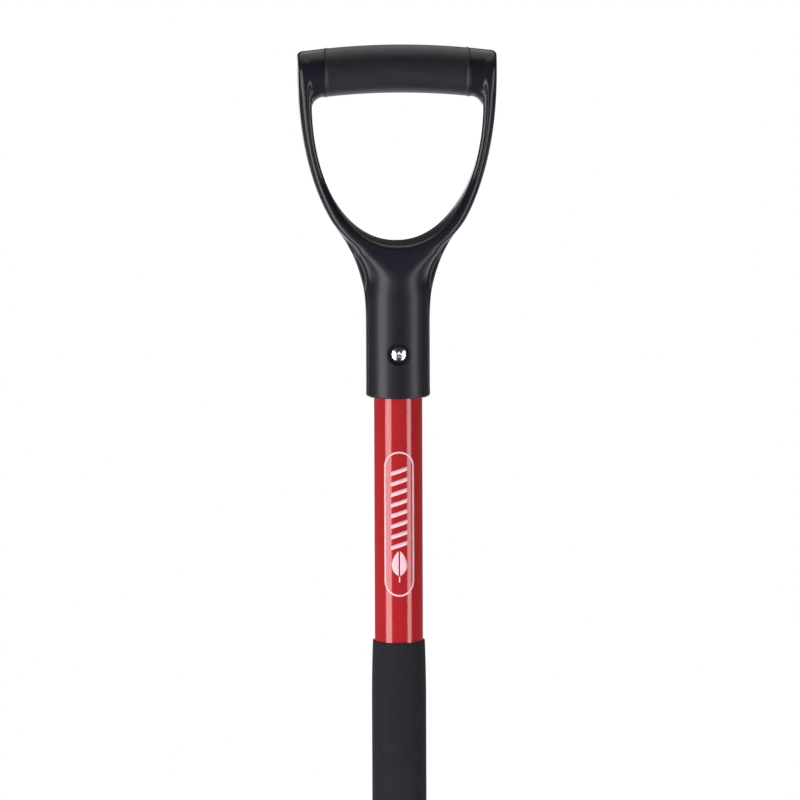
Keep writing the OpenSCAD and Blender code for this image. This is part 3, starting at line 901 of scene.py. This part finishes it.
UNWORN = 90.0                     # stored as the distance from the edge where the coat is whole


def socket_radius(z):
    t = np.clip((z - SOCKET_TAPER_Z) / (SOCKET_TOP - SOCKET_TAPER_Z), 0, 1)
    return SOCKET_LOW_R + (SOCKET_TOP_R - SOCKET_LOW_R) * t


def scarf_z(y):
    """Height of the socket's slanted end at a distance y behind the axis."""
    return TREAD_Z - SCARF_BACK - (SOCKET_LOW_R - y) * SCARF_RUN


def make_socket(finish):
    """The socket: a tapered tube with a rounded top rim, cut on a slant below."""
    steps = 144
    bore = TUBE_R + BORE_GAP
    low_bore = SOCKET_LOW_R - SOCKET_WALL
    angle = np.arange(steps) * 2 * math.pi / steps

    def ring(radius, z, slant=0):
        """A ring at height z, moved the part slant of the way to the slanted end."""
        x, y = radius * np.cos(angle), radius * np.sin(angle)
        return np.stack([x, y, z + (scarf_z(y) + CAP_T * 1.2 - z) * slant], 1)

    rings = [ring(bore + 0.35, SOCKET_TOP), ring(SOCKET_TOP_R - 0.5, SOCKET_TOP),
             ring(SOCKET_TOP_R - 0.14, SOCKET_TOP - 0.14)]
    for below in (0.5, 2, 12, 60):
        rings.append(ring(socket_radius(SOCKET_TOP - below), SOCKET_TOP - below))
    rings += [ring(SOCKET_LOW_R, SOCKET_TAPER_Z), ring(SOCKET_LOW_R, LEVEL_Z)]
    slants = np.arange(1, 9) / 8
    rings += [ring(SOCKET_LOW_R, LEVEL_Z, slant) for slant in slants]
    rings += [ring(low_bore, LEVEL_Z, slant) for slant in slants[::-1]]
    rings += [ring(low_bore, LEVEL_Z), ring(low_bore, TUBE_END - 0.5)]
    rings += [ring(bore, TUBE_END), ring(bore, SOCKET_TOP - 0.35)]
    faces = grid_faces(len(rings), steps, wrap_rows=True, wrap_columns=True)
    piece = add_piece("socket_shell", np.concatenate(rings), faces, finish, ["socket"])
    crease_by_angle(piece, 40)
    return piece


def make_frog_plate(finish):
    """The slanted closing plate, pressed slightly hollow, with a rounded rim."""
    steps, radius = 144, SOCKET_LOW_R - 0.1
    normal = np.array([0, SCARF_RUN, -1]) / math.hypot(SCARF_RUN, 1)
    points = []
    parts = [0.02, 0.2, 0.4, 0.55, 0.68, 0.78, 0.86, 0.92, 0.96]
    front = [(part, 1.0, 0.9 * smooth((0.8 - part) / 0.3)) for part in parts]
    rim = [(0.985, 0.96, 0), (0.998, 0.75, 0), (1.0, 0.5, 0)]
    rim += [(part, -side, 0) for part, side, _ in reversed(rim)]
    back = [(part, -1.0, hollow) for part, _, hollow in reversed(front)]
    for part, side, hollow in front + rim + back:
        for k in range(steps):
            a = 2 * math.pi * k / steps
            x, y = part * radius * math.cos(a), part * radius * math.sin(a)
            base = np.array([x, y, scarf_z(y) + CAP_T * 1.45])
            points.append(base + normal * (side * CAP_T / 2 - hollow))
    faces = grid_faces(len(points) // steps, steps, wrap_columns=True)
    faces.append(list(range(steps)))
    faces.append(list(range(len(points) - steps, len(points))))
    return add_piece("closing_plate", points, faces, finish, ["frog_plate"])


def half_width(s):
    """Half the blade's width at a distance s below the treads."""
    s = np.asarray(s, float)
    t = np.clip((s - WIDEST) / (BLADE_L - WIDEST), 0, 1)
    lower = BLADE_R * (1 - t ** 2.4) ** 0.7
    upper = BLADE_R - SHOULDER_DROP * ((WIDEST - np.maximum(s, 0)) / WIDEST) ** 2
    return np.where(s > WIDEST, lower, upper)


def sheet_y(x, s):
    """Middle surface of the blade: the dished plate and the frog, with soft valleys between."""
    plate = LEAN * s + LEAN_GROWTH * s * np.abs(s) + DISH * (x / BLADE_R) ** 2
    a, edge = np.abs(x), FROG_FLANK * FROG_R
    foot = math.sqrt(FROG_R ** 2 - edge ** 2)
    flank = foot - (a - edge) * edge / foot
    frog = np.where(a < edge, np.sqrt(np.maximum(FROG_R ** 2 - a ** 2, 1)), flank)
    soft = np.maximum(FROG_BLEND - np.abs(plate - frog), 0) ** 2 / (4 * FROG_BLEND)
    return -np.maximum(plate, frog) - soft


def tread_reach(x):
    """How far the top edge is turned forward, measured along the sheet."""
    t = np.abs(2 * (np.abs(x) - TREAD_IN) / (TREAD_OUT - TREAD_IN) - 1)
    window = np.clip(1 - t ** 9, 0, 1) ** 0.42
    return (TREAD_BEND * math.pi / 2 + TREAD_DEPTH) * window


def tongue_height(x):
    """Height of the tongue's rim above the treads."""
    return TONGUE_H * np.maximum(1 - (x / TONGUE_W) ** 2, 0) ** 1.5


def make_blade(finish):
    """One sheet: dished plate, frog, tongue and treads; then given its thickness."""
    columns, rows, folds = 136, 96, 16
    c = np.linspace(-1, 1, columns)
    across = 0.72 * c + 0.28 * c * np.abs(c)
    points, edge = [], []
    x = across * half_width(0)
    for k in range(folds, 0, -1):
        tongue = tongue_height(x) * k / folds
        run = tread_reach(x) * k / folds
        a = np.minimum(run / TREAD_BEND, math.pi / 2)
        rest = np.maximum(run - TREAD_BEND * math.pi / 2, 0)
        y = sheet_y(x, -tongue) - TREAD_BEND * (1 - np.cos(a)) - rest
        z = TREAD_Z + tongue + TREAD_BEND * np.sin(a)
        points.append(np.stack([x, y, z], 1))
        edge.append(np.full(columns, UNWORN))
    for k in range(rows + 1):
        s = (BLADE_L - 0.3) * (1 - (1 - k / rows) ** 1.5)
        x = across * half_width(s)
        points.append(np.stack([x, sheet_y(x, s), np.full(columns, TREAD_Z - s)], 1))
        slope = half_width(s + 0.5) - half_width(s - 0.5)
        near = (half_width(s) - np.abs(x)) / np.sqrt(1 + slope ** 2)
        edge.append(near + 60 * smooth((110 - s) / 60))
    points = np.concatenate(points)
    faces = grid_faces(folds + rows + 1, columns)
    piece = add_piece("blade_sheet", points, faces, finish, ["blade"])
    store_edge(piece, points, np.concatenate(edge))
    thick = piece.modifiers.new("thickness", "SOLIDIFY")
    thick.thickness = BLADE_T * M
    thick.offset = 0
    round_off = piece.modifiers.new("rim", "BEVEL")
    round_off.width = 0.7 * M
    round_off.segments = 3
    round_off.limit_method = "ANGLE"
    round_off.angle_limit = math.radians(50)
    return piece


def store_edge(piece, points, distance):
    """Keeps each point's distance from the cutting edge, for the wear in the coat."""
    found = {tuple(np.round(p, 3)): d for p, d in zip(points, distance)}
    layer = piece.data.attributes.new("edge", "FLOAT", "POINT")
    for vertex, item in zip(piece.data.vertices, layer.data):
        item.value = found.get(tuple(np.round(np.array(vertex.co) / M, 3)), UNWORN)


def mark_unworn(*pieces):
    """The coat on these pieces is whole: they are far from the cutting edge."""
    for piece in pieces:
        layer = piece.data.attributes.new("edge", "FLOAT", "POINT")
        layer.data.foreach_set("value", [UNWORN] * len(piece.data.vertices))


def make_rivet(name, z, finish, nodes=()):
    """A through rivet: a domed head at each end of a plain shank."""
    seat = float(socket_radius(z)) + 0.15
    head_r, head_h, shank = 5.6, 2.6, 3.0
    upper = [(0.001, seat + head_h)]
    for a in np.linspace(0.02, 1.45, 12):
        upper.append((head_r * math.sin(a), seat + head_h * math.cos(a) ** 0.9))
    upper += [(head_r, seat + 0.22), (head_r - 0.2, seat), (shank, seat)]
    lower = [(r, -h) for r, h in reversed(upper)]
    points, faces = lathe(upper + lower, 48)
    points = turned(points, 0, z)
    return add_piece(name, points, faces, finish, nodes)


def make_bead(name, path, radius, pitch, finish):
    points, faces = tube_along(path, radius, 12, 0.16, pitch)
    add_piece(name, points, faces, finish)


def make_welds(finish):
    """Beads round the closing plate, along the tongue's rim and beside the socket."""
    a = np.linspace(0, 2 * math.pi, 260)
    radius = SOCKET_LOW_R + 0.1
    y = radius * np.sin(a)
    rim = np.stack([radius * np.cos(a), y, scarf_z(y) + CAP_T * 1.3], 1)
    make_bead("plate_weld", rim, 1.7, 2.6, finish)

    x = np.linspace(-18.6, 18.6, 150)
    z = TREAD_Z + tongue_height(x)
    seat = -np.sqrt(np.maximum(socket_radius(z) ** 2 - x ** 2, 0)) - 0.5
    make_bead("tongue_weld", np.stack([x, seat, z + 0.9], 1), 1.5, 2.4, finish)

    s = np.linspace(-4, 92, 200)
    seam_x = np.full(len(s), (SOCKET_LOW_R + 1.0) * math.cos(math.radians(14)))
    y = np.clip(sheet_y(seam_x, s) + 1.1, -13, 4)
    x = np.sqrt(np.maximum(SOCKET_LOW_R ** 2 - y ** 2, 1)) + 0.5
    for side, name in ((-1, "left_weld"), (1, "right_weld")):
        make_bead(name, np.stack([side * x, y + 0.6, TREAD_Z - s], 1), 1.6, 2.6, finish)


# ---------- the whole shovel ----------

plastic = grip_plastic()
make_grip_frame(plastic)
make_grip_cover(soft_cover())
zinc = bright_zinc()
make_screw(zinc)
make_washer(zinc)
make_nut(zinc)
make_tube(red_coat())
make_print(pale_ink())
make_sleeve(sleeve_rubber())
make_dowel(plug_wood())
coat = head_coat()
make_blade(coat)
mark_unworn(make_socket(coat), make_frog_plate(coat))
rivets = rivet_steel()
make_rivet("upper_rivet", RIVET_ZS[0], rivets, ["socket_rivets"])
make_rivet("lower_rivet", RIVET_ZS[1], rivets)
make_welds(weld_metal())

# ---------- floor, light and camera ----------


FLOOR_R = 6000
FLOOR_NEAR = 0.45                 # metres from the shaft's axis where the floor starts to turn white
FLOOR_FAR = 1.6
# How the room lights the shovel and mirrors in it. Each edge is a cosine or a part of a direction.
BACKDROP_EDGE = 0.86
BACKDROP_FULL = 0.995
BACKDROP_GLOW = 2.2
STRIP_LEFT = 0.0                  # the backdrop's dark strip, for the left wall of the hand hole
STRIP_RIGHT = 0.16
STRIP_DIM = 0.08
TABLE_EDGE = -0.1                 # the bright table behind the shovel
TABLE_FULL = 0.4
TABLE_GLOW = 1.2
CEILING_WAY = (0, 0.42, 0.91)     # towards the middle of the ceiling's light
CEILING_EDGE = 0.73
CEILING_FULL = 0.85
CEILING_GLOW = 1.55
ROOM_GLOW = 0.12
FRONT_GLOW = 0.04
BACK_WALL_DIM = 0.3               # how dim the wall is above the backdrop


def ramp(tree, source, low, high, to_low=0, to_high=1):
    """A smooth step of source between low and high."""
    return map_range(tree, source, low, high, to_low, to_high, "SMOOTHSTEP")


def product(tree, first, *others):
    for other in others:
        first = math_node(tree, "MULTIPLY", first, other)
    return first


def seen_by_camera(tree):
    """1 for what the camera sees straight, 0 for what lights or mirrors in the shovel."""
    return tree.nodes.new("ShaderNodeLightPath").outputs["Is Camera Ray"]


def direction(tree, source):
    """The X, Y and Z of a unit vector."""
    unit = tree.nodes.new("ShaderNodeVectorMath")
    unit.operation = "NORMALIZE"
    tree.links.new(source, unit.inputs[0])
    split = tree.nodes.new("ShaderNodeSeparateXYZ")
    tree.links.new(unit.outputs["Vector"], split.inputs[0])
    return split.outputs


def make_floor():
    """A plain pale disc under the blade's point, which runs out into the white of the room."""
    rings, steps = 12, 96
    points = []
    for i in range(1, rings + 1):
        radius = FLOOR_R * (i / rings) ** 2
        for a in np.arange(steps) * 2 * math.pi / steps:
            points.append([radius * math.cos(a), radius * math.sin(a), TIP_Z - 1])
    faces = grid_faces(rings, steps, wrap_columns=True) + [list(range(steps))]
    mesh = bpy.data.meshes.new("floor")
    mesh.from_pydata((np.array(points) * M).tolist(), [], faces)
    floor = bpy.data.objects.new("floor", mesh)
    bpy.context.scene.collection.objects.link(floor)
    f = Finish("pale_floor", Roughness=0.8, Base_Color=(0.86, 0.86, 0.87, 1), Specular_IOR_Level=0.1)
    distance = f.nodes.new("ShaderNodeVectorMath")
    distance.operation = "LENGTH"
    f.links.new(f.scaled((1, 1, 0)), distance.inputs[0])
    glow = f.nodes.new("ShaderNodeEmission")
    f.links.new(seen_by_camera(f.tree), glow.inputs["Strength"])
    mix = f.nodes.new("ShaderNodeMixShader")
    f.links.new(ramp(f.tree, distance.outputs["Value"], FLOOR_NEAR, FLOOR_FAR), mix.inputs[0])
    f.links.new(f.shader.outputs[0], mix.inputs[1])
    f.links.new(glow.outputs[0], mix.inputs[2])
    f.links.new(mix.outputs[0], f.nodes["Material Output"].inputs["Surface"])
    mesh.materials.append(f.material)
    floor.visible_glossy = False
    floor.visible_shadow = False


def room_light(tree):
    """How bright the room is, by direction: dim but for the backdrop, the table and the ceiling."""
    place = tree.nodes.new("ShaderNodeTexCoord").outputs["Generated"]
    way = direction(tree, place)
    strip = product(tree, ramp(tree, way["X"], STRIP_LEFT, STRIP_LEFT + 0.05),
                    ramp(tree, way["X"], STRIP_RIGHT, STRIP_RIGHT + 0.1, 1, 0),
                    ramp(tree, way["Z"], -0.19, -0.15))
    backdrop = product(tree, ramp(tree, way["Y"], BACKDROP_EDGE, BACKDROP_FULL, 0, BACKDROP_GLOW),
                       ramp(tree, way["Z"], -0.02, -0.06), ramp(tree, strip, 0, 1, 1, STRIP_DIM))
    table = product(tree, ramp(tree, way["Y"], TABLE_EDGE, TABLE_FULL, 0, TABLE_GLOW),
                    ramp(tree, way["Z"], -0.2, -0.36))
    up = tree.nodes.new("ShaderNodeVectorMath")
    up.operation = "DOT_PRODUCT"
    tree.links.new(place, up.inputs[0])
    up.inputs[1].default_value = CEILING_WAY
    ceiling = ramp(tree, up.outputs["Value"], CEILING_EDGE, CEILING_FULL, 0, CEILING_GLOW)
    back_wall = product(tree, ramp(tree, way["Y"], 0.5, 0.8), ramp(tree, way["Z"], 0.0, 0.06))
    light = product(tree, ramp(tree, way["Y"], -0.4, 0.3, FRONT_GLOW, ROOM_GLOW),
                    ramp(tree, back_wall, 0, 1, 1, BACK_WALL_DIM))
    for source in (backdrop, table, ceiling):
        light = math_node(tree, "MAXIMUM", light, source)
    return light


def make_world():
    """White to the camera; to everything else the light of the room."""
    world = bpy.data.worlds.new("studio")
    bpy.context.scene.world = world
    world.use_nodes = True
    tree = world.node_tree
    tree.nodes.clear()
    lit = tree.nodes.new("ShaderNodeBackground")
    white = tree.nodes.new("ShaderNodeBackground")
    for background in (lit, white):
        background.inputs["Color"].default_value = (1, 1, 1, 1)
    tree.links.new(room_light(tree), lit.inputs["Strength"])
    mix = tree.nodes.new("ShaderNodeMixShader")
    tree.links.new(seen_by_camera(tree), mix.inputs[0])
    tree.links.new(lit.outputs[0], mix.inputs[1])
    tree.links.new(white.outputs[0], mix.inputs[2])
    out = tree.nodes.new("ShaderNodeOutputWorld")
    tree.links.new(mix.outputs[0], out.inputs["Surface"])


def add_softbox(name, azimuth, distance, width, height, level, power):
    """A tall soft light round the shaft; azimuth 0 is in front, positive towards +X."""
    light = bpy.data.lights.new(name, "AREA")
    light.shape = "RECTANGLE"
    light.size, light.size_y = width * M, height * M
    light.energy = power
    lamp = bpy.data.objects.new(name, light)
    a = math.radians(azimuth)
    lamp.location = Vector((distance * math.sin(a), -distance * math.cos(a), level)) * M
    lamp.rotation_euler = (math.pi / 2, 0, a)
    lamp.visible_camera = False
    bpy.context.scene.collection.objects.link(lamp)


def add_camera(azimuth, elevation, distance, aim, roll, lens):
    """A camera that looks at aim; azimuth 0 is in front, positive towards +X."""
    camera = bpy.data.cameras.new("camera")
    camera.sensor_width = 36
    camera.lens = lens
    camera.clip_end = 100
    holder = bpy.data.objects.new("camera", camera)
    a, e = math.radians(azimuth), math.radians(elevation)
    back = Vector((math.sin(a) * math.cos(e), -math.cos(a) * math.cos(e), math.sin(e)))
    turn = (-back).to_track_quat("-Z", "Y").to_matrix().to_4x4()
    turn = turn @ Matrix.Rotation(math.radians(roll), 4, "Z")
    holder.matrix_world = Matrix.Translation((Vector(aim) + back * distance) * M) @ turn
    bpy.context.scene.collection.objects.link(holder)
    bpy.context.scene.camera = holder


make_floor()
make_world()
add_softbox("left_softbox", -49.5, 2600, 1360, 4400, -1500, 132)
add_softbox("right_softbox", 50.0, 2600, 920, 4400, -1500, 75)
add_camera(-2.2, 8.0, 5600, (1.3, 0, -202.2), -0.2, lens=385)
bpy.context.scene.view_settings.view_transform = "Standard"
